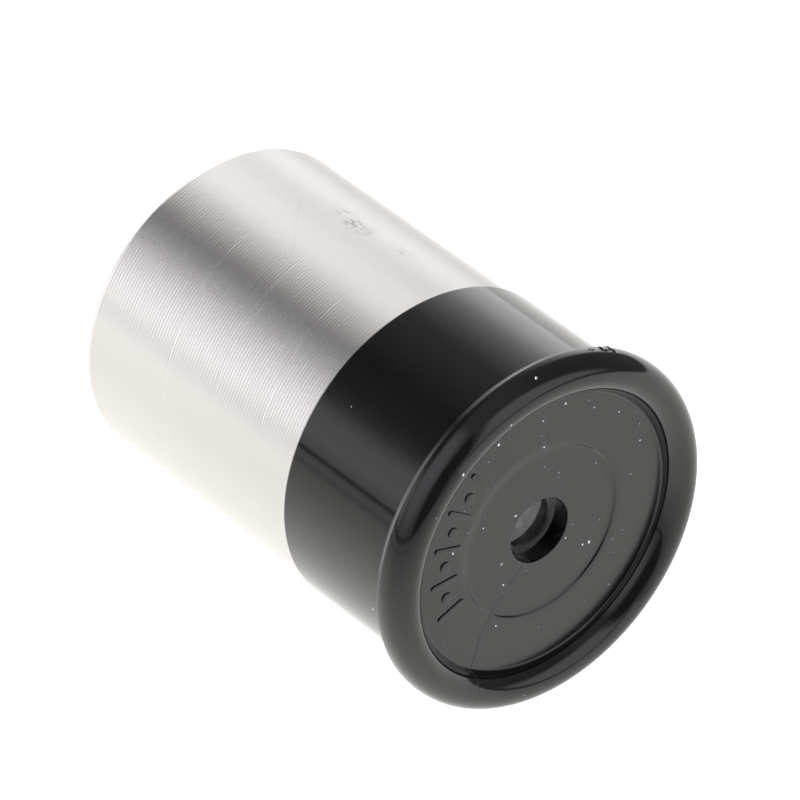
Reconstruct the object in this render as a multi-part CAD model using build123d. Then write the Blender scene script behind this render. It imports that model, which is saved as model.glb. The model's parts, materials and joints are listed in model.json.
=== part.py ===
"""Small two-lens telescope eyepiece with a turned push-in barrel and a moulded eye cap.

Units are millimetres. +Z is the optical axis, towards the eye. The origin is the centre of the barrel's open end.
There are eight separate pieces: barrel, eye cap, two lenses, two spacers, field stop and lens retainer.
"""

from build123d import *
import os
from math import asin, atan, cos, degrees, radians, sin, sqrt, tan

# ---- Barrel: the turned aluminium tube that goes into the eyepiece holder ----
BARREL_OUTER_R = 12.25
BARREL_BORE_R = 11.20
BARREL_LENGTH = 22.80
BARREL_EDGE = 0.25

# ---- Screw joint between the cap's spigot and the barrel's upper end ----
BARREL_PITCH = 0.75
BARREL_TURNS = 4
BARREL_THREAD_R = 11.50
BARREL_THREAD_BOTTOM_Z = 18.60
BARREL_RIDGE_Z = 19.40
SPIGOT_R = 11.13
SPIGOT_CREST_R = 11.43
SPIGOT_BOTTOM_Z = 18.30
SPIGOT_BORE_R = 9.60
SPIGOT_LEAD = 0.30

# ---- Eye cap, outside ----
BODY_R = 12.60
SHOULDER_Z = BARREL_LENGTH
BODY_EDGE = 0.15
RIM_R = 13.88
RIM_WIDEST_Z = 35.10
RIM_BACK_Z = 34.78
RIM_PARTING_STEP = 0.10
RIM_FOOT_Z = 34.50
RIM_FOOT_FILLET = 0.20
CREST_R = 12.36
CREST_Z = 36.95
LIP_INNER_R = 10.86
LIP_FOOT_DEG = 17.0

# ---- Eye cap, face ----
FACE_Z = 35.50
DISC_R = 6.80
DISC_SLOPE_WIDTH = 0.18
DISC_Z = 35.34
HOLE_R = 2.53
HOLE_EDGE = 0.06
PLATE_UNDER_Z = 33.75

# ---- Raised marks on the face, and the gate scar on the rim ----
MARK_HEIGHT = 0.13
MARK_SINK = 0.10
MARK_EDGE = 0.05
MARK_RADIUS = 8.55
MARK_FIRST_DEG = -92.0
MARK_STEP_DEG = 9.0
MARK_COUNT = 9
TICK_LENGTH = 2.40
TICK_WIDTH = 0.46
DOT_R = 0.42
GATE_DEG = -153.5
GATE_STUB = (0.50, 1.50, 0.45)
GATE_STUB_R = 13.72
GATE_NOTCH = (0.50, 0.55, 0.60)
GATE_NOTCH_OFFSET = 0.55

# ---- Lens cell inside the cap ----
CELL_OUTER_R = 6.20
CELL_BORE_R = 4.60
CELL_BOTTOM_Z = 21.10
EYE_BORE_R = 3.15
LENS_SEAT_Z = 33.90
STEP_BELOW_SEAT = 0.74

# ---- Lenses: both flat towards the eye and domed towards the telescope ----
GLASS_INDEX = 1.62
EYE_LENS_R = 3.10
EYE_LENS_CURVE = 3.25
EYE_LENS_EDGE = 0.80
FIELD_LENS_R = 4.50
FIELD_LENS_CURVE = 11.25
FIELD_LENS_EDGE = 1.00
LENS_SPACING = 7.54

# ---- Loose rings in the cell ----
RING_OUTER_R = 4.55
EYE_SPACER_BORE_R = 3.00
EYE_SPACER_SEAT_DEPTH = 0.58
STOP_R = 1.90
STOP_THICK = 0.30
STOP_BEVEL = 0.20
FIELD_SPACER_BORE_R = 3.90
GAP = 0.01

# ---- Screw joint between the retainer and the cell ----
RETAINER_PITCH = 0.60
RETAINER_TURNS = 2
RETAINER_CORE_R = 4.66
RETAINER_CREST_R = 4.90
RETAINER_BORE_R = 3.60
RETAINER_THICK = 1.90
RETAINER_SEAT_DEPTH = 0.40
RETAINER_LEAD = 0.20
CELL_THREAD_R = 4.97
CELL_CREST_R = 4.73
CELL_THREAD_RELIEF = 0.05
SLOT_WIDTH = 0.90
SLOT_DEPTH = 0.70

# ---- Both threads ----
FLANK_DEG = 30.0
BARREL_THREAD_TIP = 0.12
RETAINER_THREAD_TIP = 0.08
RIDGE_ROOT = 0.05


def sag(curve, radius):
    """Depth of a spherical dome of the given curve out to the given radius."""
    return curve - sqrt(curve**2 - radius**2)


def focal_length(curve):
    """Focal length of a lens with one flat side."""
    return curve / (GLASS_INDEX - 1)


# ---- Heights down the lens cell, worked out from the optics ----
EYE_LENS_THICK = EYE_LENS_EDGE + sag(EYE_LENS_CURVE, EYE_LENS_R)
EYE_LENS_EDGE_Z = LENS_SEAT_Z - EYE_LENS_EDGE
EYE_LENS_DOME_Z = LENS_SEAT_Z - EYE_LENS_THICK
FIELD_LENS_THICK = FIELD_LENS_EDGE + sag(FIELD_LENS_CURVE, FIELD_LENS_R)
STOP_TOP_Z = EYE_LENS_DOME_Z - focal_length(EYE_LENS_CURVE)
FIELD_LENS_TOP_Z = EYE_LENS_DOME_Z - LENS_SPACING + FIELD_LENS_THICK / GLASS_INDEX
FIELD_LENS_EDGE_Z = FIELD_LENS_TOP_Z - FIELD_LENS_EDGE
CELL_STEP_Z = LENS_SEAT_Z - STEP_BELOW_SEAT
RETAINER_TOP_Z = FIELD_LENS_EDGE_Z - GAP
RETAINER_BOTTOM_Z = RETAINER_TOP_Z - RETAINER_THICK
CELL_THREAD_TOP_Z = RETAINER_TOP_Z + CELL_THREAD_RELIEF
CELL_RIDGE_Z = RETAINER_BOTTOM_Z - CELL_THREAD_RELIEF


def turned(*edges):
    """Solid of revolution about the optical axis, from a closed outline in radius and height."""
    return revolve(Plane.XZ * make_face(Wire(edges)), Axis.Z)


def turned_corners(*corners):
    """Solid of revolution from the corners of a straight-sided outline in radius and height."""
    return turned(*Polyline(*corners, close=True).edges())


def flat_ring(bore_r, outer_r, bottom_z, top_z):
    """Plain ring."""
    return turned_corners((bore_r, bottom_z), (outer_r, bottom_z), (outer_r, top_z), (bore_r, top_z))


def thread_ridge(root_r, tip_r, tip_width, pitch, turns, start_z):
    """Helical ridge of a right-hand thread, from its root radius to its tip radius."""
    root_width = tip_width + 2 * abs(tip_r - root_r) * tan(radians(FLANK_DEG))
    corners = [
        (root_r, -root_width / 2),
        (tip_r, -tip_width / 2),
        (tip_r, tip_width / 2),
        (root_r, root_width / 2),
    ]
    section = Plane.XZ * make_face(Polyline(*corners, close=True))
    path = Helix(pitch=pitch, height=pitch * turns, radius=min(root_r, tip_r))
    return Pos(0, 0, start_z) * sweep(section, path=path, is_frenet=True)


def make_barrel():
    tube = turned_corners(
        (BARREL_BORE_R + BARREL_EDGE, 0),
        (BARREL_OUTER_R - BARREL_EDGE, 0),
        (BARREL_OUTER_R, BARREL_EDGE),
        (BARREL_OUTER_R, BARREL_LENGTH),
        (BARREL_THREAD_R, BARREL_LENGTH),
        (BARREL_THREAD_R, BARREL_THREAD_BOTTOM_Z),
        (BARREL_BORE_R, BARREL_THREAD_BOTTOM_Z - (BARREL_THREAD_R - BARREL_BORE_R)),
        (BARREL_BORE_R, BARREL_EDGE),
    )
    ridge = thread_ridge(
        BARREL_THREAD_R + RIDGE_ROOT,
        BARREL_BORE_R,
        BARREL_THREAD_TIP,
        BARREL_PITCH,
        BARREL_TURNS,
        BARREL_RIDGE_Z,
    )
    return tube + ridge


def make_cap_moulding():
    """The cap's whole section in one outline: face, lip, rim, body, spigot and lens cell."""
    lip_centre = (CREST_R, RIM_WIDEST_Z)
    outer_width = RIM_R - CREST_R
    inner_width = CREST_R - LIP_INNER_R
    lip_height = CREST_Z - RIM_WIDEST_Z
    back_angle = -degrees(asin((RIM_WIDEST_Z - RIM_BACK_Z) / lip_height))
    lip_outside = EllipticalCenterArc(
        lip_centre, outer_width, lip_height, start_angle=back_angle, arc_size=90 - back_angle
    )
    lip_inside = EllipticalCenterArc(
        lip_centre, inner_width, lip_height, start_angle=90, arc_size=90 - LIP_FOOT_DEG
    )
    # a small cove carries the lip's inner side over into the flat face
    foot = lip_inside @ 1
    foot_slope = atan(inner_width / lip_height * tan(radians(LIP_FOOT_DEG)))
    cove_r = (foot.Y - FACE_Z) / (1 - sin(foot_slope))
    face_edge_r = foot.X - cove_r * cos(foot_slope)
    cove = TangentArc(foot, (face_edge_r, FACE_Z), tangent=lip_inside % 1)
    face = Polyline(
        (face_edge_r, FACE_Z),
        (DISC_R, FACE_Z),
        (DISC_R - DISC_SLOPE_WIDTH, DISC_Z),
        (HOLE_R + HOLE_EDGE, DISC_Z),
        (HOLE_R, DISC_Z - HOLE_EDGE),
        (HOLE_R, LENS_SEAT_Z),
    )
    cell = Polyline(
        (HOLE_R, LENS_SEAT_Z),
        (EYE_BORE_R, LENS_SEAT_Z),
        (EYE_BORE_R, CELL_STEP_Z),
        (CELL_BORE_R, CELL_STEP_Z),
        (CELL_BORE_R, CELL_THREAD_TOP_Z + CELL_THREAD_R - CELL_BORE_R),
        (CELL_THREAD_R, CELL_THREAD_TOP_Z),
        (CELL_THREAD_R, CELL_BOTTOM_Z),
        (CELL_OUTER_R, CELL_BOTTOM_Z),
        (CELL_OUTER_R, PLATE_UNDER_Z),
    )
    skirt = Polyline(
        (CELL_OUTER_R, PLATE_UNDER_Z),
        (SPIGOT_BORE_R, PLATE_UNDER_Z),
        (SPIGOT_BORE_R, SPIGOT_BOTTOM_Z),
        (SPIGOT_R - SPIGOT_LEAD, SPIGOT_BOTTOM_Z),
        (SPIGOT_R, SPIGOT_BOTTOM_Z + SPIGOT_LEAD),
        (SPIGOT_R, SHOULDER_Z),
        (BODY_R - BODY_EDGE, SHOULDER_Z),
        (BODY_R, SHOULDER_Z + BODY_EDGE),
        (BODY_R, RIM_FOOT_Z - RIM_FOOT_FILLET),
        (BODY_R + RIM_FOOT_FILLET, RIM_FOOT_Z),
        ((lip_outside @ 0).X - RIM_PARTING_STEP, RIM_BACK_Z - RIM_PARTING_STEP),
        lip_outside @ 0,
    )
    return turned(*face.edges(), *cell.edges(), *skirt.edges(), lip_outside, lip_inside, cove)


def make_marks():
    """Plain ticks and dots in an arc on the face, in place of any lettering."""
    height = MARK_HEIGHT + MARK_SINK
    tick = extrude(SlotOverall(TICK_LENGTH, TICK_WIDTH), height)
    tick = fillet(tick.faces().sort_by(Axis.Z)[-1].edges(), MARK_EDGE)
    dot = extrude(Circle(DOT_R), height)
    dot = fillet(dot.faces().sort_by(Axis.Z)[-1].edges(), MARK_EDGE)
    marks = []
    for number in range(MARK_COUNT):
        shape = tick if number % 2 == 0 else dot
        turn = Rot(0, 0, MARK_FIRST_DEG + number * MARK_STEP_DEG)
        marks.append(turn * Pos(MARK_RADIUS, 0, FACE_Z - MARK_SINK) * shape)
    return marks


def make_eye_cap():
    cap = make_cap_moulding()
    cap += thread_ridge(
        SPIGOT_R - RIDGE_ROOT,
        SPIGOT_CREST_R,
        BARREL_THREAD_TIP,
        BARREL_PITCH,
        BARREL_TURNS,
        BARREL_RIDGE_Z - BARREL_PITCH / 2,
    )
    cap += thread_ridge(
        CELL_THREAD_R + RIDGE_ROOT,
        CELL_CREST_R,
        RETAINER_THREAD_TIP,
        RETAINER_PITCH,
        RETAINER_TURNS,
        CELL_RIDGE_Z,
    )
    for mark in make_marks():
        cap += mark
    at_gate = Rot(0, 0, GATE_DEG) * Pos(GATE_STUB_R, 0, RIM_BACK_Z)
    cap += at_gate * Box(*GATE_STUB)
    cap -= at_gate * Pos(0, GATE_NOTCH_OFFSET, 0) * Box(*GATE_NOTCH)
    return cap


def make_flat_domed_lens(outer_r, curve, edge, top_z):
    """Lens with its flat side up at top_z and its dome down."""
    dome_z = top_z - edge - sag(curve, outer_r)
    rim_z = top_z - edge
    middle_r = outer_r / 2
    dome = ThreePointArc((outer_r, rim_z), (middle_r, dome_z + sag(curve, middle_r)), (0, dome_z))
    sides = Polyline((0, dome_z), (0, top_z), (outer_r, top_z), (outer_r, rim_z))
    return turned(dome, *sides.edges())


def make_eye_lens_spacer():
    top_z = EYE_LENS_EDGE_Z - GAP
    return turned_corners(
        (EYE_SPACER_BORE_R, STOP_TOP_Z),
        (RING_OUTER_R, STOP_TOP_Z),
        (RING_OUTER_R, top_z),
        (EYE_LENS_R, top_z),
        (EYE_SPACER_BORE_R, top_z - EYE_SPACER_SEAT_DEPTH),
    )


def make_field_stop():
    return turned_corners(
        (STOP_R + STOP_BEVEL, STOP_TOP_Z - STOP_THICK),
        (RING_OUTER_R, STOP_TOP_Z - STOP_THICK),
        (RING_OUTER_R, STOP_TOP_Z),
        (STOP_R, STOP_TOP_Z),
    )


def make_lens_retainer():
    body = turned_corners(
        (RETAINER_BORE_R, RETAINER_BOTTOM_Z),
        (RETAINER_CORE_R - RETAINER_LEAD, RETAINER_BOTTOM_Z),
        (RETAINER_CORE_R, RETAINER_BOTTOM_Z + RETAINER_LEAD),
        (RETAINER_CORE_R, RETAINER_TOP_Z),
        (FIELD_LENS_R, RETAINER_TOP_Z),
        (RETAINER_BORE_R, RETAINER_TOP_Z - RETAINER_SEAT_DEPTH),
    )
    body += thread_ridge(
        RETAINER_CORE_R - RIDGE_ROOT,
        RETAINER_CREST_R,
        RETAINER_THREAD_TIP,
        RETAINER_PITCH,
        RETAINER_TURNS,
        CELL_RIDGE_Z + RETAINER_PITCH / 2,
    )
    slot = Box(2 * CELL_THREAD_R, SLOT_WIDTH, 2 * SLOT_DEPTH)
    return body - Pos(0, 0, RETAINER_BOTTOM_Z) * slot


parts = {
    "barrel": make_barrel(),
    "eye_cap": make_eye_cap(),
    "eye_lens": make_flat_domed_lens(EYE_LENS_R, EYE_LENS_CURVE, EYE_LENS_EDGE, LENS_SEAT_Z),
    "eye_lens_spacer": make_eye_lens_spacer(),
    "field_stop": make_field_stop(),
    "field_lens_spacer": flat_ring(
        FIELD_SPACER_BORE_R, RING_OUTER_R, FIELD_LENS_TOP_Z, STOP_TOP_Z - STOP_THICK
    ),
    "field_lens": make_flat_domed_lens(
        FIELD_LENS_R, FIELD_LENS_CURVE, FIELD_LENS_EDGE, FIELD_LENS_TOP_Z
    ),
    "lens_retainer": make_lens_retainer(),
}

os.makedirs("parts", exist_ok=True)
for name, shape in parts.items():
    export_step(shape, f"parts/{name}.step")

print("stop", round(STOP_TOP_Z, 3), "field lens top", round(FIELD_LENS_TOP_Z, 3))
print("retainer", round(RETAINER_BOTTOM_Z, 3), "to", round(RETAINER_TOP_Z, 3))
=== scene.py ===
"""Blender scene for the small telescope eyepiece: meshes, procedural materials, floor, studio and camera.

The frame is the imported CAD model. +Z is the optical axis, towards the eye, and the origin is the centre of
the barrel's open end. Lengths below are in millimetres and become metres when a mesh is made. A place
around the axis is given as an azimuth in degrees, counted from -Y towards +X.
"""

import json
import math

import bmesh
import bpy
from mathutils import Matrix, Vector, noise


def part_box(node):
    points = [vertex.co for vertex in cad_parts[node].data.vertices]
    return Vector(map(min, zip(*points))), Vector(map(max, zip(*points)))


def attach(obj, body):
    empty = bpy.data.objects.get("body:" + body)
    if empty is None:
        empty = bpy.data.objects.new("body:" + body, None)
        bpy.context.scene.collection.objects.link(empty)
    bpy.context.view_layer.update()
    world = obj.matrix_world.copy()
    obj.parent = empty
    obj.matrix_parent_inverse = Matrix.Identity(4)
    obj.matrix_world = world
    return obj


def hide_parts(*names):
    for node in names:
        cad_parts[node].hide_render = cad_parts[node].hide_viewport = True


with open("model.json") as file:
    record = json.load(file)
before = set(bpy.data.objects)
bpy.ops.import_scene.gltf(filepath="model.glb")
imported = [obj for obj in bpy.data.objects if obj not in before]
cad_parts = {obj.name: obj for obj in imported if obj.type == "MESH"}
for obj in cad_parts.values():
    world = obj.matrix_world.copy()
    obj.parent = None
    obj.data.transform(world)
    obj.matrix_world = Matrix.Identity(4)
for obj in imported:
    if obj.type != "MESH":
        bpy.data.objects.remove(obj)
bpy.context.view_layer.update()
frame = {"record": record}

MM = 0.001

# ---- Sizes read from the frame ----
BARREL_LOW, BARREL_HIGH = (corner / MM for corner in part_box("barrel"))
CAP_LOW, CAP_HIGH = (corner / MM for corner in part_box("eye_cap"))
BARREL_OUTER_R = BARREL_HIGH.x
BARREL_LENGTH = BARREL_HIGH.z
RIM_R = min(CAP_HIGH.x, CAP_HIGH.y, -CAP_LOW.x, -CAP_LOW.y)
CREST_Z = CAP_HIGH.z
SPIGOT_BOTTOM_Z = CAP_LOW.z
EYE_LENS_LOW, EYE_LENS_HIGH = (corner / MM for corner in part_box("eye_lens"))
FIELD_LENS_LOW, FIELD_LENS_HIGH = (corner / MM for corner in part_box("field_lens"))
SPACER_LOW, SPACER_HIGH = (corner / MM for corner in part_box("eye_lens_spacer"))
STOP_LOW, STOP_HIGH = (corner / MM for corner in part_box("field_stop"))
RETAINER_LOW, RETAINER_HIGH = (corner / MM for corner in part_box("lens_retainer"))

# ---- Barrel ----
BARREL_BORE_R = 11.20
BARREL_EDGE = 0.16
BARREL_TOP_EDGE = 0.06
BARREL_THREAD_R = 11.50
BARREL_THREAD_BOTTOM_Z = 18.60
BARREL_RIDGE_Z = 19.40
BARREL_PITCH = 0.75
BARREL_TURNS = 4

# ---- Cap, outside ----
SPIGOT_R = 11.13
SPIGOT_CREST_R = 11.43
SPIGOT_BORE_R = 9.60
SPIGOT_LEAD = 0.30
BODY_R = 12.60
BODY_EDGE = 0.14
RIM_WIDEST_Z = 35.10
RIM_BACK_Z = 34.78
RIM_FOOT_Z = 34.50
RIM_FOOT_FILLET = 0.22
RIM_PARTING_STEP = 0.09
CREST_R = 12.36
LIP_INNER_R = 10.86
LIP_FOOT_DEG = 17.0

# ---- Cap, face and hole ----
FACE_Z = 35.50
DISC_R = 6.80
DISC_SLOPE_WIDTH = 0.18
DISC_Z = 35.34
DISC_SOFT_WIDTH = 1.30
DISC_SOFT_SHARE = 0.42
DISC_STEPS = 52
HOLE_R = 2.53
HOLE_EDGE = 0.06
LENS_SEAT_Z = EYE_LENS_HIGH.z
EYE_BORE_R = 3.15
PLATE_UNDER_Z = 33.75
CELL_STEP_Z = LENS_SEAT_Z - 0.74
CELL_OUTER_R = 6.20
CELL_BORE_R = 4.60
CELL_BOTTOM_Z = 21.10
CELL_THREAD_R = 4.97
CELL_CREST_R = 4.73
CELL_THREAD_RELIEF = 0.05

# ---- Raised marks on the face ----
MARK_COUNT = 9
MARK_RADIUS = 8.55
MARK_FIRST_DEG = -2.0
MARK_STEP_DEG = 9.0
MARK_HEIGHT = 0.10
MARK_SINK = 0.02
MARK_EDGE = 0.07
TICK_LENGTH = 2.40
TICK_WIDTH = 0.46
DOT_R = 0.42

# ---- Gate scar on the rim's back edge ----
GATE_DEG = -65.0
GATE_LENGTH = 4.6
GATE_NOTCH_OFFSET = 0.55
GATE_NOTCH_WIDTH = 0.42
GATE_Z = RIM_BACK_Z + 0.34
GATE_SINK = 0.14
GATE_DEPTH = 0.22
GATE_HEIGHT = 0.40
GATE_ROWS = 12
GATE_COLUMNS = 64

# ---- Lenses and loose rings ----
EYE_LENS_R = EYE_LENS_HIGH.x
EYE_LENS_CURVE = 3.25
FIELD_LENS_R = FIELD_LENS_HIGH.x
FIELD_LENS_CURVE = 11.25
LENS_EDGE = 0.03
RING_OUTER_R = SPACER_HIGH.x
EYE_SPACER_BORE_R = 3.00
EYE_SPACER_SEAT_DEPTH = 0.58
STOP_R = 1.90
STOP_BEVEL = 0.20
FIELD_SPACER_BORE_R = 3.90
RETAINER_CORE_R = 4.66
RETAINER_CREST_R = RETAINER_HIGH.x
RETAINER_BORE_R = 3.60
RETAINER_SEAT_DEPTH = 0.40
RETAINER_PITCH = 0.60
RETAINER_TURNS = 2
SLOT_WIDTH = 0.90
SLOT_DEPTH = 0.70

# ---- Threads ----
FLANK_DEG = 30.0
BARREL_THREAD_TIP = 0.12
RETAINER_THREAD_TIP = 0.08
RIDGE_ROOT = 0.05

# ---- Mesh fineness ----
OUTER_SEGMENTS = 384
INNER_SEGMENTS = 160
ARC_STEPS = 5
LIP_STEPS = 40
THREAD_STEPS = 96
PAD_STEPS = 48
LONG_RUN = 0.30
SUPPORT_GAP = 0.02

# ---- Camera ----
CAMERA_TARGET = Vector((0, 0, 35.40))
CAMERA_ELEVATION = 38.02
CAMERA_DISTANCE = 541.9
CAMERA_AIM = Vector((-1.66, 0, 18.46))
CAMERA_ROLL = 125.79
CAMERA_LENS = 353.9


# ======================================================================================================
# Mesh helpers
# ======================================================================================================
def around(azimuth, radius, z=0.0):
    """Point at an azimuth in degrees, in the script's millimetres."""
    angle = math.radians(azimuth)
    return Vector((radius * math.sin(angle), -radius * math.cos(angle), z))


def rounded(*corners):
    """Closed outline from corners (r, z) or (r, z, edge radius); a corner with a radius becomes an arc."""
    outline = []
    for number, corner in enumerate(corners):
        here = Vector(corner[:2])
        radius = corner[2] if len(corner) > 2 else 0
        if radius == 0:
            outline.append(here)
            continue
        before = (Vector(corners[number - 1][:2]) - here).normalized()
        after = (Vector(corners[(number + 1) % len(corners)][:2]) - here).normalized()
        half = before.angle(after) / 2
        reach = radius / math.tan(half)
        centre = here + (before + after).normalized() * radius / math.sin(half)
        start = here + before * reach - centre
        end = here + after * reach - centre
        turn = math.pi - 2 * half
        for step in range(ARC_STEPS + 1):
            part = step / ARC_STEPS
            blend = start * math.sin((1 - part) * turn) + end * math.sin(part * turn)
            outline.append(centre + blend / math.sin(turn))
    return outline


def arc(centre, width, height, start_deg, end_deg, steps):
    """Points along an ellipse in radius and height."""
    points = []
    for step in range(steps + 1):
        angle = math.radians(start_deg + (end_deg - start_deg) * step / steps)
        points.append(Vector((centre[0] + width * math.cos(angle), centre[1] + height * math.sin(angle))))
    return points


def finish_mesh(name, built, sharp_deg=30.0):
    """Turns a bmesh in millimetres into an object in metres, with smooth shading split at sharp edges."""
    bmesh.ops.remove_doubles(built, verts=built.verts, dist=1e-5)
    bmesh.ops.recalc_face_normals(built, faces=built.faces)
    bmesh.ops.scale(built, vec=(MM, MM, MM), verts=built.verts)
    mesh = bpy.data.meshes.new(name)
    built.to_mesh(mesh)
    built.free()
    mesh.shade_smooth()
    mesh.set_sharp_from_angle(angle=math.radians(sharp_deg))
    made = bpy.data.objects.new(name, mesh)
    bpy.context.scene.collection.objects.link(made)
    return made


def lathe_into(built, outline, segments):
    """Adds the solid of revolution of a closed outline in radius and height to a bmesh."""
    rings = []
    for radius, z in outline:
        if radius < 1e-6:
            rings.append([built.verts.new((0, 0, z))] * segments)
        else:
            rings.append([built.verts.new(around(360 * i / segments, radius, z)) for i in range(segments)])
    for number, ring in enumerate(rings):
        following = rings[(number + 1) % len(rings)]
        if ring[0] is ring[1] and following[0] is following[1]:
            continue
        for i in range(segments):
            j = (i + 1) % segments
            corners = [ring[i], ring[j], following[j], following[i]]
            built.faces.new(list(dict.fromkeys(corners)))


def supported(outline):
    """Adds a point close to each end of long straight runs, so that smooth shading leaves them straight."""
    points = []
    for number, here in enumerate(outline):
        following = outline[(number + 1) % len(outline)]
        run = following - here
        points.append(here)
        if run.length > LONG_RUN:
            points.append(here + run.normalized() * SUPPORT_GAP)
            points.append(following - run.normalized() * SUPPORT_GAP)
    return points


def lathe(name, outline, segments, sharp_deg=30.0):
    built = bmesh.new()
    lathe_into(built, supported(outline), segments)
    return finish_mesh(name, built, sharp_deg)


def thread_ridge(name, root_r, tip_r, tip_width, pitch, turns, start_z):
    """Helical ridge of a right-hand thread that fades out over its last eighth of a turn at both ends."""
    built = bmesh.new()
    slope = math.tan(math.radians(FLANK_DEG))
    steps = round(turns * THREAD_STEPS)
    rings = []
    for step in range(steps + 1):
        turned = step / THREAD_STEPS
        fade = min(1.0, 8 * turned, 8 * (turns - turned))
        tip = root_r + (tip_r - root_r) * max(fade, 0.02)
        root_half = (tip_width / 2 + abs(tip - root_r) * slope)
        z = start_z + turned * pitch
        shape = ((root_r, -root_half), (tip, -tip_width / 2), (tip, tip_width / 2), (root_r, root_half))
        # the CAD helix starts at +X, which is azimuth 90
        rings.append([built.verts.new(around(90 + 360 * turned, r, z + dz)) for r, dz in shape])
    for ring, following in zip(rings, rings[1:]):
        for i in range(4):
            j = (i + 1) % 4
            built.faces.new((ring[i], ring[j], following[j], following[i]))
    built.faces.new(rings[0])
    built.faces.new(rings[-1])
    return finish_mesh(name, built, 50.0)


def raised_pad_into(built, half_length, radius, place):
    """Adds a low slot-shaped pad, or a round one when half_length is 0, with rounded upper edges."""
    levels = [(0.0, -MARK_SINK)]
    for step in range(ARC_STEPS + 1):
        angle = math.radians(90 * step / ARC_STEPS)
        inset = MARK_EDGE * (1 - math.cos(angle))
        levels.append((inset, MARK_HEIGHT - MARK_EDGE + MARK_EDGE * math.sin(angle)))
    rings = []
    for inset, z in levels:
        ring = []
        for step in range(PAD_STEPS):
            angle = 2 * math.pi * (step + 0.5) / PAD_STEPS
            end = half_length if math.cos(angle) > 0 else -half_length
            reach = radius - inset
            spot = Vector((end + reach * math.cos(angle), reach * math.sin(angle), z))
            ring.append(built.verts.new(place @ spot))
        rings.append(ring)
    for ring, following in zip(rings, rings[1:]):
        for i in range(len(ring)):
            j = (i + 1) % len(ring)
            built.faces.new((ring[i], ring[j], following[j], following[i]))
    built.faces.new(rings[0][::-1])
    built.faces.new(rings[-1])


# ======================================================================================================
# Material helpers
# ======================================================================================================
def node(tree, kind, inputs=None, **settings):
    """Adds a node, sets its options, and fills its inputs with values or with other nodes' outputs."""
    made = tree.nodes.new(kind)
    for name, value in settings.items():
        setattr(made, name, value)
    for key, value in (inputs or {}).items():
        if isinstance(value, bpy.types.NodeSocket):
            tree.links.new(value, made.inputs[key])
        else:
            made.inputs[key].default_value = value
    return made


def calc(tree, operation, *values):
    """Result of a math node."""
    return node(tree, "ShaderNodeMath", dict(enumerate(values)), operation=operation).outputs[0]


def rise(tree, value, low, high):
    """Smooth step from 0 below low to 1 above high."""
    inputs = {"Value": value, "From Min": low, "From Max": high}
    return node(tree, "ShaderNodeMapRange", inputs, interpolation_type="SMOOTHSTEP").outputs["Result"]


def fall(tree, value, low, high):
    """Smooth step from 1 below low to 0 above high."""
    return calc(tree, "SUBTRACT", 1.0, rise(tree, value, low, high))


def band(tree, value, low, high, soft):
    """1 between low and high, with soft ends."""
    up = rise(tree, value, low - soft / 2, low + soft / 2)
    down = fall(tree, value, high - soft / 2, high + soft / 2)
    return calc(tree, "MULTIPLY", up, down)


def mix_colour(tree, factor, first, second):
    made = node(tree, "ShaderNodeMix", data_type="RGBA")
    sockets = {0: factor, 6: first, 7: second}
    for key, value in sockets.items():
        if isinstance(value, bpy.types.NodeSocket):
            tree.links.new(value, made.inputs[key])
        else:
            made.inputs[key].default_value = value
    return made.outputs[2]


def scaled_noise(tree, place, scale, detail=2.0, roughness=0.5):
    """Noise from 0 to 1 around 0.5; scale is three numbers, in features per metre."""
    stretched = node(tree, "ShaderNodeVectorMath", {0: place, 1: scale}, operation="MULTIPLY").outputs[0]
    inputs = {"Vector": stretched, "Scale": 1.0, "Detail": detail, "Roughness": roughness}
    return node(tree, "ShaderNodeTexNoise", inputs).outputs["Fac"]


def grey(value, warm=0.0):
    """Linear grey, warmer with a positive second value."""
    return (value * (1 + warm), value, value * (1 - warm), 1.0)


def new_material(name, **constants):
    """Material with a Principled shader, its constant sockets set, and object coordinates ready."""
    made = bpy.data.materials.new(name)
    made.use_nodes = True
    tree = made.node_tree
    shader = tree.nodes["Principled BSDF"]
    for key, value in constants.items():
        shader.inputs[key.replace("_", " ")].default_value = value
    place = node(tree, "ShaderNodeTexCoord").outputs["Object"]
    return made, tree, shader, place


def link(tree, output, shader, key):
    tree.links.new(output, shader.inputs[key])


def bump(tree, height, strength, distance, normal=None):
    """Bump node output; distance is in metres."""
    inputs = {"Height": height, "Strength": strength, "Distance": distance}
    if normal is not None:
        inputs["Normal"] = normal
    return node(tree, "ShaderNodeBump", inputs).outputs["Normal"]


def azimuth_of(tree, place):
    """Azimuth around the axis in degrees, from -180 to 180, and the three coordinates."""
    parts = node(tree, "ShaderNodeSeparateXYZ", {0: place}).outputs
    angle = calc(tree, "ARCTAN2", parts[0], calc(tree, "MULTIPLY", parts[1], -1.0))
    return calc(tree, "MULTIPLY", angle, 180 / math.pi), parts


SPECK_RAGGED = 22000


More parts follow.
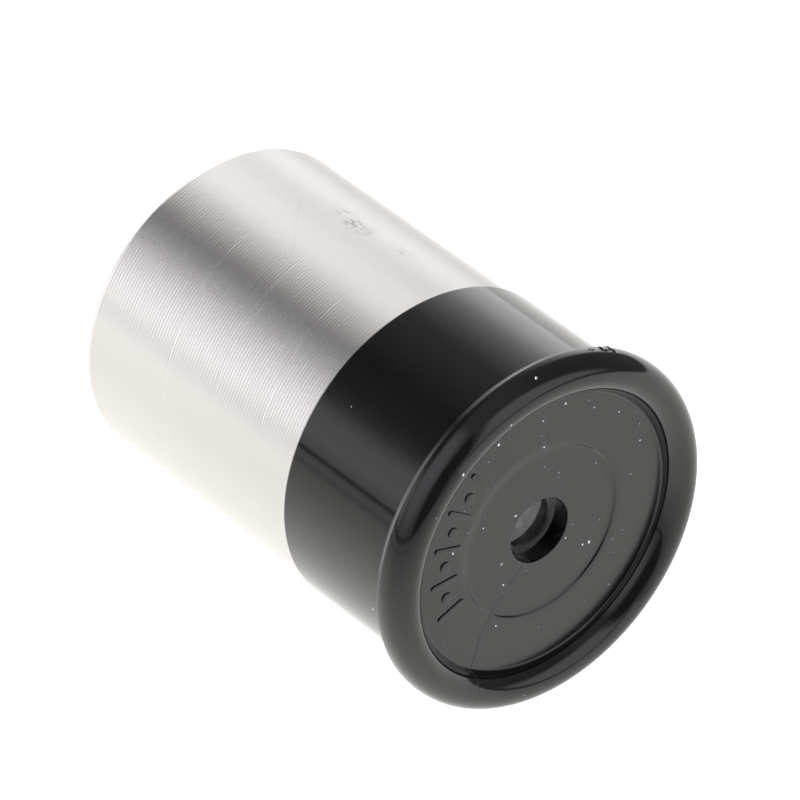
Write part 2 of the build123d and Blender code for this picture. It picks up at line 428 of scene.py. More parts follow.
def specks(tree, place, cell_mm, share, size_mm, seed):
    """Mask of small ragged specks: each cell may hold one, and only this share of the cells does."""
    offset = (seed, seed * 0.7, seed * 0.3)
    moved = node(tree, "ShaderNodeVectorMath", {0: place, 1: offset}, operation="ADD")
    inputs = {"Vector": moved.outputs[0], "Scale": 1 / (cell_mm * MM), "Randomness": 1.0}
    cells = node(tree, "ShaderNodeTexVoronoi", inputs)
    pick = node(tree, "ShaderNodeSeparateColor", {0: cells.outputs["Color"]}).outputs
    chosen = calc(tree, "LESS_THAN", pick[0], share)
    size = calc(tree, "MULTIPLY", calc(tree, "ADD", pick[1], 0.25), size_mm / cell_mm)
    ragged = scaled_noise(tree, place, (SPECK_RAGGED, SPECK_RAGGED, SPECK_RAGGED), 1.0)
    stretch = calc(tree, "ADD", 0.75, calc(tree, "MULTIPLY", rise(tree, ragged, 0.35, 0.65), 1.5))
    distance = calc(tree, "MULTIPLY", cells.outputs["Distance"], stretch)
    inside = calc(tree, "LESS_THAN", distance, size)
    return calc(tree, "MULTIPLY", chosen, inside)


# ======================================================================================================
# Materials
# ======================================================================================================
LATHE_PITCH = 0.28
RING_WEIGHT = 1.5
STREAK_WEIGHT = 0.7
GRAIN_WEIGHT = 1.3
TOOL_MARK_WEIGHT = 2.6
METAL_RELIEF = 0.0045
METAL_PALE = (0.602, 0.580, 0.564, 1)
METAL_DEEP = (0.572, 0.550, 0.534, 1)
METAL_SMEAR = (0.36, 0.33, 0.31, 1)
TOOL_MARK_PITCH = 5.2
TOOL_MARK_Z = 2.75
HAIR_Z = 17.4
HAIR_LEAN = 0.226
SCUFF_PLACES = ((-53, 12.3, 3, 1.2), (-56, 16.6, 2, 0.6), (-55, 10.3, 2, 0.6))


def turned_aluminium():
    """Lathe-turned aluminium: fine rings, grain, one helical tool mark, handling scuffs."""
    made, tree, shader, place = new_material(
        "turned_aluminium", Metallic=1.0, Anisotropic=0.90, Anisotropic_Rotation=0.25
    )
    azimuth, parts = azimuth_of(tree, place)
    z = calc(tree, "DIVIDE", parts[2], MM)
    # rings of the turning tool, each a little different in depth, stronger where the photo shows them
    wander = calc(tree, "MULTIPLY", scaled_noise(tree, place, (160, 160, 500), 3.0), 0.08)
    phase = calc(tree, "MULTIPLY", calc(tree, "ADD", z, wander), 2 * math.pi / LATHE_PITCH)
    depth = scaled_noise(tree, place, (500, 500, 3600), 3.0, 0.6)
    rings = calc(tree, "MULTIPLY", calc(tree, "SINE", phase), rise(tree, depth, 0.20, 0.75))
    graded = band(tree, azimuth, -18, 18, 26)
    shown = calc(tree, "ADD", 0.25, calc(tree, "MULTIPLY", graded, 0.85))
    rings = calc(tree, "MULTIPLY", rings, shown)
    streaks = scaled_noise(tree, place, (1500, 1500, 9000), 3.0, 0.6)
    grain = scaled_noise(tree, place, (7000, 7000, 9000), 2.0, 0.5)
    grain = calc(tree, "MULTIPLY", grain, band(tree, azimuth, -32, 6, 16))
    helical = helical_mark(tree, place, azimuth, z)
    height = calc(tree, "MULTIPLY", rings, RING_WEIGHT)
    height = calc(tree, "ADD", height, calc(tree, "MULTIPLY", streaks, STREAK_WEIGHT))
    height = calc(tree, "ADD", height, calc(tree, "MULTIPLY", grain, GRAIN_WEIGHT))
    height = calc(tree, "SUBTRACT", height, calc(tree, "MULTIPLY", helical, TOOL_MARK_WEIGHT))
    link(tree, bump(tree, height, 1.0, METAL_RELIEF * MM), shader, "Normal")
    # colour and gloss
    blotch = scaled_noise(tree, place, (120, 120, 90), 4.0, 0.6)
    smear = smudges(tree, place, azimuth, z)
    colour = mix_colour(tree, rise(tree, blotch, 0.25, 0.8), METAL_DEEP, METAL_PALE)
    colour = mix_colour(tree, smear, colour, METAL_SMEAR)
    link(tree, colour, shader, "Base Color")
    rough = calc(tree, "ADD", 0.27, calc(tree, "MULTIPLY", blotch, 0.07))
    rough = calc(tree, "ADD", rough, calc(tree, "MULTIPLY", smear, 0.2))
    broken = calc(tree, "MULTIPLY", rise(tree, grain, 0.30, 0.60), calc(tree, "MULTIPLY", graded, rings))
    rough = calc(tree, "ADD", rough, calc(tree, "MULTIPLY", broken, 0.06))
    link(tree, rough, shader, "Roughness")
    tangent = node(tree, "ShaderNodeTangent", direction_type="RADIAL", axis="Z").outputs[0]
    link(tree, tangent, shader, "Tangent")
    return made


def helical_mark(tree, place, azimuth, z):
    """Mask of the shallow helical line left where the tool was drawn back; it fades in and out."""
    turn = calc(tree, "SUBTRACT", z, calc(tree, "MULTIPLY", azimuth, TOOL_MARK_PITCH / 360))
    shifted = calc(tree, "ADD", turn, 4 * TOOL_MARK_PITCH - TOOL_MARK_Z)
    wrapped = calc(tree, "MODULO", shifted, TOOL_MARK_PITCH)
    away = calc(tree, "MINIMUM", wrapped, calc(tree, "SUBTRACT", TOOL_MARK_PITCH, wrapped))
    patch = scaled_noise(tree, place, (60, 60, 60), 1.0)
    near = band(tree, azimuth, -22, 24, 14)
    shown = calc(tree, "MAXIMUM", near, calc(tree, "MULTIPLY", rise(tree, patch, 0.5, 0.62), 0.6))
    shown = calc(tree, "MULTIPLY", shown, rise(tree, z, 5.0, 9.0))
    return calc(tree, "MULTIPLY", fall(tree, away, 0.015, 0.06), shown)


def smudges(tree, place, azimuth, z):
    """Thin broken scuffs on one side of the barrel, and one hair-fine scratch."""
    ragged = scaled_noise(tree, place, (1900, 1900, 700), 4.0, 0.65)
    total = None
    for centre_deg, centre_z, width_deg, height in SCUFF_PLACES:
        across = band(tree, azimuth, centre_deg - width_deg, centre_deg + width_deg, 3.0)
        along = band(tree, z, centre_z - height, centre_z + height, 0.8)
        inside = calc(tree, "MULTIPLY", across, along)
        line = calc(tree, "ABSOLUTE", calc(tree, "SUBTRACT", ragged, 0.5))
        mark = calc(tree, "MULTIPLY", inside, fall(tree, line, 0.01, 0.035))
        total = mark if total is None else calc(tree, "MAXIMUM", total, mark)
    scratch_z = calc(tree, "ADD", HAIR_Z, calc(tree, "MULTIPLY", azimuth, HAIR_LEAN))
    apart = calc(tree, "ABSOLUTE", calc(tree, "SUBTRACT", z, calc(tree, "ADD", scratch_z, ragged)))
    hair = calc(tree, "MULTIPLY", fall(tree, apart, 0.02, 0.07), band(tree, azimuth, -46, -24, 4))
    total = calc(tree, "MAXIMUM", total, calc(tree, "MULTIPLY", hair, 0.35))
    return calc(tree, "MULTIPLY", total, 0.6)


KNIT_DEG = 100.0
KNIT_WAVE = 0.62
KNIT_SWING = 0.45
KNIT_LEAN = 0.10
SCUFF_TURN = 0.75
BLACK_DEEP = (0.0016, 0.0016, 0.0016, 1)
BLACK_PALE = (0.0034, 0.0033, 0.0031, 1)
DUST_COLOUR = (0.85, 0.85, 0.87, 1)
PLASTIC_RELIEF = 0.003


def black_moulding():
    """Glossy black moulded plastic with a satin face, a knit line, faint swirls, scuffs and dust."""
    made, tree, shader, place = new_material("black_moulding", IOR=1.58)
    swirl = scaled_noise(tree, place, (220, 220, 220), 4.0, 0.6)
    fine = scaled_noise(tree, place, (2500, 2500, 2500), 3.0, 0.6)
    parts = node(tree, "ShaderNodeSeparateXYZ", {0: place}).outputs
    facing = node(tree, "ShaderNodeNewGeometry").outputs["Normal"]
    upward = node(tree, "ShaderNodeSeparateXYZ", {0: facing}).outputs[2]
    face = rise(tree, upward, 0.97, 0.999)
    knit = knit_line(tree, place, parts)
    share = calc(tree, "ADD", 0.05, calc(tree, "MULTIPLY", face, 0.60))
    coarse_dust = specks(tree, place, 1.6, share, 0.095, 0.013)
    fine_dust = specks(tree, place, 0.9, share, 0.055, 0.029)
    dust = calc(tree, "MAXIMUM", coarse_dust, fine_dust)
    pits = specks(tree, place, 1.9, 0.12, 0.10, 0.053)
    stretching = {"Vector": place, "Rotation": (0, 0, SCUFF_TURN), "Scale": (1, 9, 1)}
    stretched = node(tree, "ShaderNodeMapping", stretching).outputs[0]
    scuffs = specks(tree, stretched, 1.5, 0.05, 0.16, 0.071)
    scuffs = calc(tree, "MULTIPLY", scuffs, face)
    black = mix_colour(tree, swirl, BLACK_DEEP, BLACK_PALE)
    link(tree, mix_colour(tree, dust, black, DUST_COLOUR), shader, "Base Color")
    rough = calc(tree, "ADD", 0.050, calc(tree, "MULTIPLY", swirl, 0.04))
    rough = calc(tree, "ADD", rough, calc(tree, "MULTIPLY", face, 0.14))
    rough = calc(tree, "ADD", rough, calc(tree, "MULTIPLY", knit, 0.30))
    rough = calc(tree, "ADD", rough, calc(tree, "MULTIPLY", scuffs, 0.12))
    rough = calc(tree, "MAXIMUM", rough, calc(tree, "MULTIPLY", dust, 0.9))
    link(tree, rough, shader, "Roughness")
    height = calc(tree, "MULTIPLY", swirl, 2.0)
    height = calc(tree, "ADD", height, calc(tree, "MULTIPLY", fine, 0.10))
    height = calc(tree, "SUBTRACT", height, calc(tree, "MULTIPLY", knit, 3.0))
    height = calc(tree, "ADD", height, calc(tree, "MULTIPLY", dust, 6.0))
    height = calc(tree, "SUBTRACT", height, calc(tree, "MULTIPLY", pits, 5.0))
    height = calc(tree, "ADD", height, calc(tree, "MULTIPLY", scuffs, 1.5))
    link(tree, bump(tree, height, 1.0, PLASTIC_RELIEF * MM), shader, "Normal")
    return made


def measured(tree, parts, direction):
    """Distance in millimetres along a direction square to the axis."""
    scaled = [calc(tree, "MULTIPLY", parts[i], direction[i] / MM) for i in range(2)]
    return calc(tree, "ADD", *scaled)


def knit_line(tree, place, parts):
    """Mask of the fine line where two flows of plastic met, from the hole out over the lip."""
    along = measured(tree, parts, around(KNIT_DEG, 1.0))
    across = measured(tree, parts, around(KNIT_DEG + 90, 1.0))
    wave = calc(tree, "SINE", calc(tree, "MULTIPLY", along, KNIT_WAVE))
    bend = calc(tree, "MULTIPLY", wave, KNIT_SWING)
    lean = calc(tree, "MULTIPLY", calc(tree, "SUBTRACT", along, 5.0), KNIT_LEAN)
    centre = calc(tree, "ADD", bend, lean)
    away = calc(tree, "ABSOLUTE", calc(tree, "SUBTRACT", across, centre))
    wobble = scaled_noise(tree, place, (900, 900, 900), 2.0)
    width = calc(tree, "MULTIPLY", wobble, 0.16)
    line = fall(tree, calc(tree, "DIVIDE", away, width), 0.4, 1.0)
    return calc(tree, "MULTIPLY", line, rise(tree, along, 2.4, 2.9))


def lens_glass():
    """Clear optical glass with a trace of dust on it; the steep rim zone is painted near-black and rough: a
    ground side edge, and painted shade over the steep outer ring of the dome that hides its bright internal
    reflection.
    """
    made, tree, shader, place = new_material("lens_glass", Transmission_Weight=1.0, IOR=1.62)
    dust = specks(tree, place, 0.9, 0.35, 0.03, 0.041)
    facing = node(tree, "ShaderNodeNewGeometry").outputs["Normal"]
    upward = node(tree, "ShaderNodeSeparateXYZ", {0: facing}).outputs[2]
    # painted shade: near-black and rough on the lens side and on the steep outer ring of the dome, which
    # hides the bright internal reflection there; on the side it stands for a ground edge
    ground_edge_and_painted_shade = fall(tree, calc(tree, "ABSOLUTE", upward), 0.55, 0.68)
    colour = mix_colour(tree, dust, (0.97, 0.99, 0.985, 1), grey(0.75))
    link(tree, mix_colour(tree, ground_edge_and_painted_shade, colour, grey(0.004)), shader, "Base Color")
    haze = scaled_noise(tree, place, (700, 700, 700), 3.0)
    rough = calc(tree, "MULTIPLY", rise(tree, haze, 0.45, 0.9), 0.03)
    link(tree, calc(tree, "MAXIMUM", rough, calc(tree, "MULTIPLY", ground_edge_and_painted_shade, 0.5)), shader, "Roughness")
    return made


def dark_part(name, first, second, roughness, spread, metallic, scale):
    """Dark inner part: two close colours and two close gloss levels, mottled at a given scale."""
    made, tree, shader, place = new_material(name, Metallic=metallic)
    mottle = scaled_noise(tree, place, (scale, scale, scale), 4.0, 0.6)
    rings = scaled_noise(tree, place, (scale / 2, scale / 2, scale * 8), 2.0)
    link(tree, mix_colour(tree, mottle, first, second), shader, "Base Color")
    rough = calc(tree, "ADD", roughness, calc(tree, "MULTIPLY", rings, spread))
    link(tree, rough, shader, "Roughness")
    link(tree, bump(tree, calc(tree, "ADD", mottle, rings), 0.3, 0.01 * MM), shader, "Normal")
    return made


def pale_floor():
    made, tree, shader, place = new_material("pale_floor", IOR=1.45)
    mottle = scaled_noise(tree, place, (40, 40, 40), 3.0)
    link(tree, mix_colour(tree, mottle, grey(0.90), grey(0.93)), shader, "Base Color")
    link(tree, calc(tree, "ADD", 0.7, calc(tree, "MULTIPLY", mottle, 0.2)), shader, "Roughness")
    return made


# ======================================================================================================
# Pieces
# ======================================================================================================
def place_piece(piece, body, node_name, material):
    """Gives a piece its material, parents it to its body's empty, and hides the CAD part that it stands in
    for.
    """
    piece.data.materials.clear()
    piece.data.materials.append(material)
    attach(piece, body)
    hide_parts(node_name)
    return piece


def make_barrel():
    outline = rounded(
        (BARREL_BORE_R, 0, BARREL_EDGE),
        (BARREL_OUTER_R, 0, BARREL_EDGE),
        (BARREL_OUTER_R, BARREL_LENGTH, BARREL_TOP_EDGE),
        (BARREL_THREAD_R, BARREL_LENGTH, BARREL_TOP_EDGE),
        (BARREL_THREAD_R, BARREL_THREAD_BOTTOM_Z),
        (BARREL_BORE_R, BARREL_THREAD_BOTTOM_Z - (BARREL_THREAD_R - BARREL_BORE_R), 0.05),
    )
    return lathe("barrel_tube", outline, OUTER_SEGMENTS)


def disc_edge():
    """Points down the step to the sunken disc: a short slope that blends widely into both flats."""
    points = []
    middle = DISC_R - DISC_SLOPE_WIDTH / 2
    for step in range(DISC_STEPS + 1):
        away = DISC_SOFT_WIDTH * (0.5 - step / DISC_STEPS)
        share = (1 - DISC_SOFT_SHARE) * smooth_step(away / DISC_SLOPE_WIDTH + 0.5)
        share += DISC_SOFT_SHARE * smooth_step(away / DISC_SOFT_WIDTH + 0.5)
        points.append((middle + away, DISC_Z + (FACE_Z - DISC_Z) * share))
    return points


def smooth_step(value):
    """0 below 0, 1 above 1 and a smooth curve between."""
    kept = min(1.0, max(0.0, value))
    return kept * kept * (3 - 2 * kept)


def make_cap():
    lip_centre = (CREST_R, RIM_WIDEST_Z)
    outer_width = RIM_R - CREST_R
    inner_width = CREST_R - LIP_INNER_R
    lip_height = CREST_Z - RIM_WIDEST_Z
    back_deg = -math.degrees(math.asin((RIM_WIDEST_Z - RIM_BACK_Z) / lip_height))
    foot_deg = 180 - LIP_FOOT_DEG
    outside = arc(lip_centre, outer_width, lip_height, back_deg, 90, LIP_STEPS)
    inside = arc(lip_centre, inner_width, lip_height, 90, foot_deg, LIP_STEPS)[1:]
    foot = inside[-1]
    slope = math.atan(inner_width / lip_height * math.tan(math.radians(LIP_FOOT_DEG)))
    cove_r = (foot.y - FACE_Z) / (1 - math.sin(slope))
    cove_centre = (foot.x - cove_r * math.cos(slope), foot.y + cove_r * math.sin(slope))
    cove_end = 270
    cove_start = 360 - math.degrees(slope)
    cove = arc(cove_centre, cove_r, cove_r, cove_start, cove_end, 2 * ARC_STEPS)[1:]
    back = outside[0]
    rest = rounded(
        (cove[-1].x - 0.5, FACE_Z),
        *disc_edge(),
        (HOLE_R, DISC_Z, HOLE_EDGE),
        (HOLE_R, LENS_SEAT_Z, 0.02),
        (EYE_BORE_R, LENS_SEAT_Z),
        (EYE_BORE_R, CELL_STEP_Z, 0.03),
        (CELL_BORE_R, CELL_STEP_Z),
        (CELL_BORE_R, RETAINER_HIGH.z + CELL_THREAD_RELIEF + CELL_THREAD_R - CELL_BORE_R),
        (CELL_THREAD_R, RETAINER_HIGH.z + CELL_THREAD_RELIEF),
        (CELL_THREAD_R, CELL_BOTTOM_Z, 0.10),
        (CELL_OUTER_R, CELL_BOTTOM_Z, 0.15),
        (CELL_OUTER_R, PLATE_UNDER_Z, 0.30),
        (SPIGOT_BORE_R, PLATE_UNDER_Z, 0.30),
        (SPIGOT_BORE_R, SPIGOT_BOTTOM_Z, 0.10),
        (SPIGOT_R - SPIGOT_LEAD, SPIGOT_BOTTOM_Z, 0.05),
        (SPIGOT_R, SPIGOT_BOTTOM_Z + SPIGOT_LEAD, 0.05),
        (SPIGOT_R, BARREL_LENGTH, 0.05),
        (BODY_R, BARREL_LENGTH, BODY_EDGE),
        (BODY_R, RIM_FOOT_Z, RIM_FOOT_FILLET),
        (back.x - RIM_PARTING_STEP, RIM_FOOT_Z + 0.06, 0.05),
        (back.x - RIM_PARTING_STEP, RIM_BACK_Z - 0.02, 0.02),
        (back.x, back.y),
    )
    outline = outside + inside + cove + rest[1:-1]
    return lathe("eye_cap_moulding", outline, OUTER_SEGMENTS, 42.0)


def make_marks():
    """Plain ticks and dots in an arc on the face."""
    built = bmesh.new()
    for number in range(MARK_COUNT):
        is_tick = number % 2 == 0
        azimuth = MARK_FIRST_DEG + number * MARK_STEP_DEG
        turn = Matrix.Rotation(math.radians(azimuth - 90), 4, "Z")
        spot = Matrix.Translation(around(azimuth, MARK_RADIUS, FACE_Z))
        half = (TICK_LENGTH - TICK_WIDTH) / 2 if is_tick else 0
        raised_pad_into(built, half, TICK_WIDTH / 2 if is_tick else DOT_R, spot @ turn)
    return finish_mesh("eye_cap_marks", built, 60.0)


def make_gate_scar():
    """Torn stub where the sprue broke off the rim's back edge: two lumps with a notch between them."""
    built = bmesh.new()
    grid = []
    for column in range(GATE_COLUMNS + 1):
        along = (column / GATE_COLUMNS - 0.5) * GATE_LENGTH
        taper = math.sin(math.pi * column / GATE_COLUMNS) ** 0.5
        notch = min(1.0, abs(along - GATE_NOTCH_OFFSET) / GATE_NOTCH_WIDTH) ** 2
        azimuth = GATE_DEG + math.degrees(along / RIM_R)
        line = []
        for row in range(GATE_ROWS + 1):
            angle = 2 * math.pi * row / GATE_ROWS
            tear = noise.noise(Vector((along * 3.1, math.cos(angle) * 0.9, math.sin(angle) * 0.9)))
            size = taper * (0.35 + 0.65 * notch) * (1 + 0.55 * tear)
            radius = RIM_R - GATE_SINK + GATE_DEPTH * size * math.cos(angle)
            z = GATE_Z + GATE_HEIGHT * size * math.sin(angle)
            line.append(built.verts.new(around(azimuth, radius, z)))
        grid.append(line)
    for line, following in zip(grid, grid[1:]):
        for row in range(GATE_ROWS):
            built.faces.new((line[row], line[row + 1], following[row + 1], following[row]))
    return finish_mesh("eye_cap_gate_scar", built, 25.0)


def make_lens(name, radius, curve, low_z, high_z):
    """Lens with a flat top and a domed underside."""
    depth = curve - math.sqrt(curve**2 - radius**2)
    reach = math.degrees(math.asin(radius / curve))
    dome = arc((0, low_z + curve), curve, curve, -90, -90 + reach, 24)
    top = rounded((0, high_z), (radius, low_z + depth), (radius, high_z, LENS_EDGE))
    outline = dome[:-1] + top[1:] + [Vector((0, high_z))]
    return lathe(name, outline, INNER_SEGMENTS, 25.0)


def make_eye_spacer():
    top_z = SPACER_HIGH.z
    outline = rounded(
        (EYE_SPACER_BORE_R, SPACER_LOW.z, 0.05),
        (RING_OUTER_R, SPACER_LOW.z, 0.10),
        (RING_OUTER_R, top_z, 0.10),
        (EYE_LENS_R, top_z, 0.04),
        (EYE_SPACER_BORE_R, top_z - EYE_SPACER_SEAT_DEPTH),
    )
    return lathe("eye_lens_spacer_ring", outline, INNER_SEGMENTS)


def make_field_stop():
    outline = rounded(
        (STOP_R + STOP_BEVEL, STOP_LOW.z),
        (RING_OUTER_R, STOP_LOW.z, 0.04),
        (RING_OUTER_R, STOP_HIGH.z, 0.04),
        (STOP_R, STOP_HIGH.z),
    )
    return lathe("field_stop_washer", outline, INNER_SEGMENTS)


def make_field_spacer():
    outline = rounded(
        (FIELD_SPACER_BORE_R, FIELD_LENS_HIGH.z, 0.05),
        (RING_OUTER_R, FIELD_LENS_HIGH.z, 0.08),
        (RING_OUTER_R, STOP_LOW.z, 0.08),
        (FIELD_SPACER_BORE_R, STOP_LOW.z, 0.05),
    )
    return lathe("field_lens_spacer_ring", outline, INNER_SEGMENTS)


def make_retainer():
    """Threaded ring with a driver slot right across its underside."""
    top_z, bottom_z = RETAINER_HIGH.z, RETAINER_LOW.z
    outline = rounded(
        (RETAINER_BORE_R, bottom_z, 0.08),
        (RETAINER_CORE_R - 0.20, bottom_z, 0.05),
        (RETAINER_CORE_R, bottom_z + 0.20, 0.05),
        (RETAINER_CORE_R, top_z, 0.05),
        (FIELD_LENS_R, top_z, 0.03),
        (RETAINER_BORE_R, top_z - RETAINER_SEAT_DEPTH, 0.05),
    )
    ring = lathe("lens_retainer_ring", outline, INNER_SEGMENTS)
    cutter = bmesh.new()
    size = Matrix.Diagonal((2 * CELL_THREAD_R, SLOT_WIDTH, 2 * SLOT_DEPTH, 1))
    bmesh.ops.create_cube(cutter, size=1.0, matrix=Matrix.Translation((0, 0, bottom_z)) @ size)
    box = finish_mesh("slot_cutter", cutter)
    cut = ring.modifiers.new("slot", "BOOLEAN")
    cut.operation = "DIFFERENCE"
    cut.object = box
    apply_modifiers(ring)
    bpy.data.objects.remove(box)
    return ring


def apply_modifiers(piece):
    """Bakes the modifiers into the mesh."""
    graph = bpy.context.evaluated_depsgraph_get()
    done = bpy.data.meshes.new_from_object(piece.evaluated_get(graph))
    piece.modifiers.clear()
    piece.data = done
    piece.data.set_sharp_from_angle(angle=math.radians(30))


def make_threads():
    """The three thread ridges that show when the screw joints are apart, and the one in the cell."""
    barrel = thread_ridge(
        "barrel_thread", BARREL_THREAD_R + RIDGE_ROOT, BARREL_BORE_R, BARREL_THREAD_TIP,
        BARREL_PITCH, BARREL_TURNS, BARREL_RIDGE_Z,
    )
    spigot = thread_ridge(
        "eye_cap_spigot_thread", SPIGOT_R - RIDGE_ROOT, SPIGOT_CREST_R, BARREL_THREAD_TIP,
        BARREL_PITCH, BARREL_TURNS, BARREL_RIDGE_Z - BARREL_PITCH / 2,
    )
    ridge_z = RETAINER_LOW.z - CELL_THREAD_RELIEF
    cell = thread_ridge(
        "eye_cap_cell_thread", CELL_THREAD_R + RIDGE_ROOT, CELL_CREST_R, RETAINER_THREAD_TIP,
        RETAINER_PITCH, RETAINER_TURNS, ridge_z,
    )
    retainer = thread_ridge(
        "lens_retainer_thread", RETAINER_CORE_R - RIDGE_ROOT, RETAINER_CREST_R, RETAINER_THREAD_TIP,
        RETAINER_PITCH, RETAINER_TURNS, ridge_z + RETAINER_PITCH / 2,
    )
    return barrel, spigot, cell, retainer


def make_pieces():
    aluminium = turned_aluminium()
    plastic = black_moulding()
    glass = lens_glass()
    ring_plastic = dark_part("black_ring_plastic", grey(0.010), grey(0.018), 0.38, 0.15, 0.0, 900)
    washer = dark_part("blackened_washer", grey(0.020), grey(0.035), 0.45, 0.20, 0.6, 1400)
    anodised = dark_part("black_anodised", grey(0.016), grey(0.030), 0.35, 0.15, 0.5, 1100)
    barrel_thread, spigot_thread, cell_thread, retainer_thread = make_threads()
    for piece in (make_barrel(), barrel_thread):
        place_piece(piece, "barrel", "barrel", aluminium)
    for piece in (make_cap(), make_marks(), make_gate_scar(), spigot_thread, cell_thread):
        place_piece(piece, "eye_cap", "eye_cap", plastic)
    eye_lens = make_lens("eye_lens_glass", EYE_LENS_R, EYE_LENS_CURVE, EYE_LENS_LOW.z, EYE_LENS_HIGH.z)
    place_piece(eye_lens, BODY_OF["eye_lens"], "eye_lens", glass)
    field_lens = make_lens(
        "field_lens_glass", FIELD_LENS_R, FIELD_LENS_CURVE, FIELD_LENS_LOW.z, FIELD_LENS_HIGH.z
    )
    place_piece(field_lens, BODY_OF["field_lens"], "field_lens", glass)
    for maker, name in ((make_eye_spacer, "eye_lens_spacer"), (make_field_spacer, "field_lens_spacer")):
        place_piece(maker(), BODY_OF[name], name, ring_plastic)
    place_piece(make_field_stop(), BODY_OF["field_stop"], "field_stop", washer)
    for piece in (make_retainer(), retainer_thread):
        place_piece(piece, BODY_OF["lens_retainer"], "lens_retainer", anodised)


BODY_OF = {
    member: body
    for body, members in frame["record"]["behaviour"]["bodies"].items()
    for member in members
}


# ======================================================================================================
# Floor, studio and camera
# ======================================================================================================
def make_floor():
    """A pale sheet under the barrel's open end."""
    built = bmesh.new()
    bmesh.ops.create_grid(built, x_segments=8, y_segments=8, size=1500)
    floor = finish_mesh("floor", built)
    floor.location.z = BARREL_LOW.z * MM
    floor.data.materials.append(pale_floor())
    floor.visible_glossy = False


TABLE_FACES_DEG = -41.3
SOFTBOX_MIDDLE = (1.06, 1.07, 1.13, 1)
SOFTBOX_EDGE = (0.50, 0.505, 0.535, 1)
LIT_WALL = (1.14, 1.15, 1.19, 1)
TABLE_WHITE = (1.40, 1.38, 1.34, 1)
TABLE_FAR_LEFT = (1.20, 1.18, 1.16, 1)
TABLE_FAR_RIGHT = (0.68, 0.67, 0.65, 1)
FLOOR_LIGHT = 2.2


def studio_world():
    """A white table to one side, a softbox in front, a lit wall above and darkness between them."""
    world = bpy.data.worlds.new("studio")
    bpy.context.scene.world = world
    world.use_nodes = True
    tree = world.node_tree
    tree.nodes.clear()
    way = node(tree, "ShaderNodeTexCoord").outputs["Generated"]
    azimuth, parts = azimuth_of(tree, way)
    height = calc(tree, "MULTIPLY", calc(tree, "ARCSINE", parts[2]), 180 / math.pi)
    light = room(tree, azimuth, height)
    light = softbox(tree, azimuth, height, light)
    light = low_side(tree, azimuth, height, light)
    light = table(tree, way, azimuth, height, light)
    light = underneath(tree, azimuth, height, light)
    path = node(tree, "ShaderNodeLightPath").outputs
    colour = mix_colour(tree, path["Is Diffuse Ray"], light, grey(FLOOR_LIGHT))
    colour = mix_colour(tree, path["Is Camera Ray"], colour, grey(1.0))
    background = node(tree, "ShaderNodeBackground", {"Color": colour, "Strength": 1.0})
    node(tree, "ShaderNodeOutputWorld", {"Surface": background.outputs[0]})


def room(tree, azimuth, height):
    """Dark grey walls, with a lit wall high up on the left and a near-black ceiling on the right."""
    light = mix_colour(tree, rise(tree, azimuth, -75, -45), grey(0.23, 0.02), grey(0.34, 0.0))
    wall = calc(tree, "MULTIPLY", band(tree, azimuth, -120, -33, 18), rise(tree, height, 27, 42))
    light = mix_colour(tree, wall, light, LIT_WALL)
    ceiling = calc(tree, "MULTIPLY", band(tree, azimuth, -22, 60, 6), rise(tree, height, 20, 34))
    light = mix_colour(tree, ceiling, light, grey(0.12))
    return mix_colour(tree, rise(tree, height, 66, 86), light, grey(0.60))


def softbox(tree, azimuth, height, light):
    """Bluish soft light in front, brightest near its middle."""
    across = band(tree, azimuth, -18, 48, 12)
    inside = calc(tree, "MULTIPLY", across, band(tree, height, -28, 28, 16))
    side = calc(tree, "DIVIDE", calc(tree, "SUBTRACT", azimuth, 10), 40)
    up = calc(tree, "DIVIDE", calc(tree, "SUBTRACT", height, -5), 34)
    spread = calc(tree, "ADD", calc(tree, "MULTIPLY", side, side), calc(tree, "MULTIPLY", up, up))
    glow = mix_colour(tree, rise(tree, spread, 0.0, 1.1), SOFTBOX_MIDDLE, SOFTBOX_EDGE)
    return mix_colour(tree, inside, light, glow)


def scaled_colour(tree, colour, scale):
    """Colour multiplied by three numbers."""
    return node(tree, "ShaderNodeVectorMath", {0: colour, 1: scale}, operation="MULTIPLY").outputs[0]


def azimuth_ramp(tree, azimuth, steps):
    """Grey value by azimuth, from (degrees, value) steps."""
    spread = node(tree, "ShaderNodeMapRange", {"Value": azimuth, "From Min": -180.0, "From Max": 180.0})
    ramp = node(tree, "ShaderNodeValToRGB", {0: spread.outputs["Result"]})
    stops = ramp.color_ramp.elements
    for number, (degrees, value) in enumerate(steps):
        place = (degrees + 180) / 360
        stop = stops[number] if number < 2 else stops.new(place)
        stop.position = place
        stop.color = grey(value)
    return ramp.outputs["Color"]


def low_side(tree, azimuth, height, light):
    """Below the front: dark straight ahead, brighter round to the left, a soft panel on the right."""
    level = azimuth_ramp(tree, azimuth, (
        (-124, 2.10), (-112, 2.00), (-97, 1.20), (-82, 0.68), (-68, 0.32), (-44, 0.22),
        (-24, 0.10), (-2, 0.17), (8, 0.34), (20, 1.00), (34, 1.12), (49, 0.70),
    ))
    return mix_colour(tree, fall(tree, height, -32, -24), light, level)


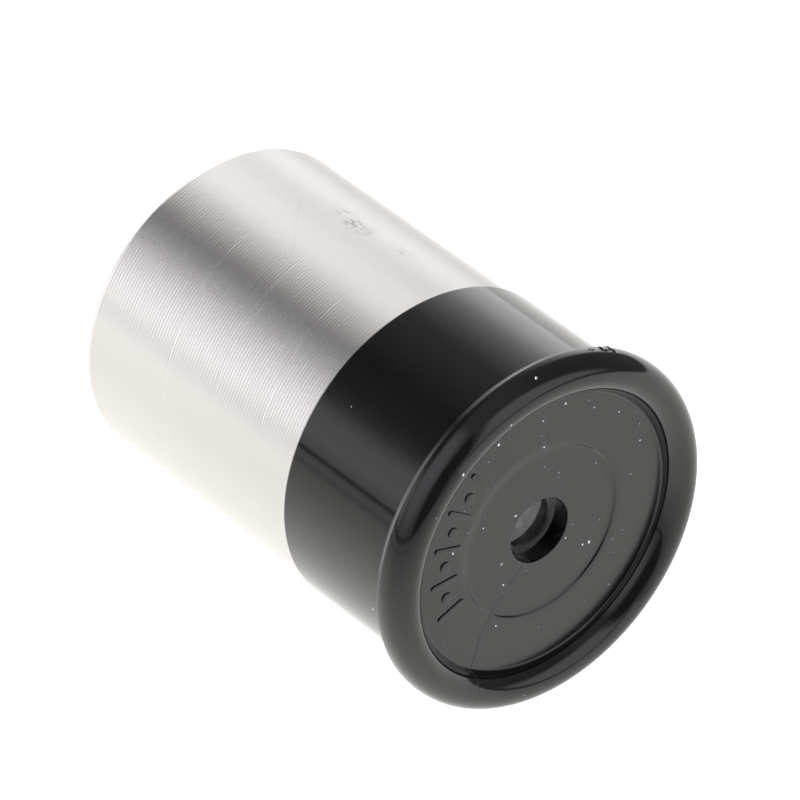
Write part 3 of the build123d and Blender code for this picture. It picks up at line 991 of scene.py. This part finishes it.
def underneath(tree, azimuth, height, light):
    """The strongly lit table top further down, which gives the turned barrel its long highlights."""
    level = azimuth_ramp(tree, azimuth, (
        (-180, 1.8), (-152, 2.4), (-120, 3.2), (-104, 5.0), (-88, 6.2), (-72, 5.5), (-56, 2.7),
        (-40, 1.3), (-24, 0.20), (-8, 0.9), (8, 2.3), (24, 2.7), (48, 3.8), (72, 4.2), (90, 3.1),
        (112, 2.1), (140, 1.8),
    ))
    cool = band(tree, azimuth, -30, 44, 20)
    level = mix_colour(tree, cool, level, scaled_colour(tree, level, (0.97, 0.97, 1.05)))
    reach = calc(tree, "MULTIPLY", fall(tree, height, -52, -43), rise(tree, height, -80, -66))
    return mix_colour(tree, reach, light, level)


def table(tree, way, azimuth, height, light):
    """The white table fills one half of the surroundings, with a dark gap and a fold on the right."""
    facing = around(TABLE_FACES_DEG, 1.0)
    product = node(tree, "ShaderNodeVectorMath", {0: way, 1: -facing}, operation="DOT_PRODUCT")
    towards = product.outputs["Value"]
    right = rise(tree, azimuth, 0, 20)
    gap = calc(tree, "MULTIPLY", band(tree, towards, -0.050, -0.012, 0.03), right)
    light = mix_colour(tree, gap, light, grey(0.24))
    edge = mix_colour(tree, right, TABLE_FAR_LEFT, TABLE_FAR_RIGHT)
    white = mix_colour(tree, rise(tree, towards, -0.1, 0.85), edge, TABLE_WHITE)
    near = calc(tree, "MULTIPLY", fall(tree, height, -34, 5), 0.16)
    scale = calc(tree, "ADD", near, 1.0)
    white = node(tree, "ShaderNodeVectorMath", {0: white, 3: scale}, operation="SCALE").outputs[0]
    fold = calc(tree, "MULTIPLY", band(tree, towards, 0.06, 0.11, 0.06), right)
    white = mix_colour(tree, calc(tree, "MULTIPLY", fold, 0.35), white, grey(0.25))
    return mix_colour(tree, rise(tree, towards, -0.01, 0.03), light, white)


def make_camera():
    data = bpy.data.cameras.new("camera")
    data.lens = CAMERA_LENS
    data.sensor_width = 36.0
    data.clip_start = 0.05
    data.clip_end = 10.0
    camera = bpy.data.objects.new("camera", data)
    bpy.context.scene.collection.objects.link(camera)
    angle = math.radians(CAMERA_ELEVATION)
    away = Vector((0, -math.cos(angle), math.sin(angle)))
    camera.location = (CAMERA_TARGET + away * CAMERA_DISTANCE) * MM
    look = CAMERA_AIM * MM - camera.location
    camera.rotation_mode = "QUATERNION"
    roll = Matrix.Rotation(math.radians(CAMERA_ROLL), 3, "Z").to_quaternion()
    camera.rotation_quaternion = look.to_track_quat("-Z", "Y") @ roll
    bpy.context.scene.camera = camera


bpy.context.scene.view_settings.view_transform = "Standard"
make_pieces()
make_floor()
studio_world()
make_camera()
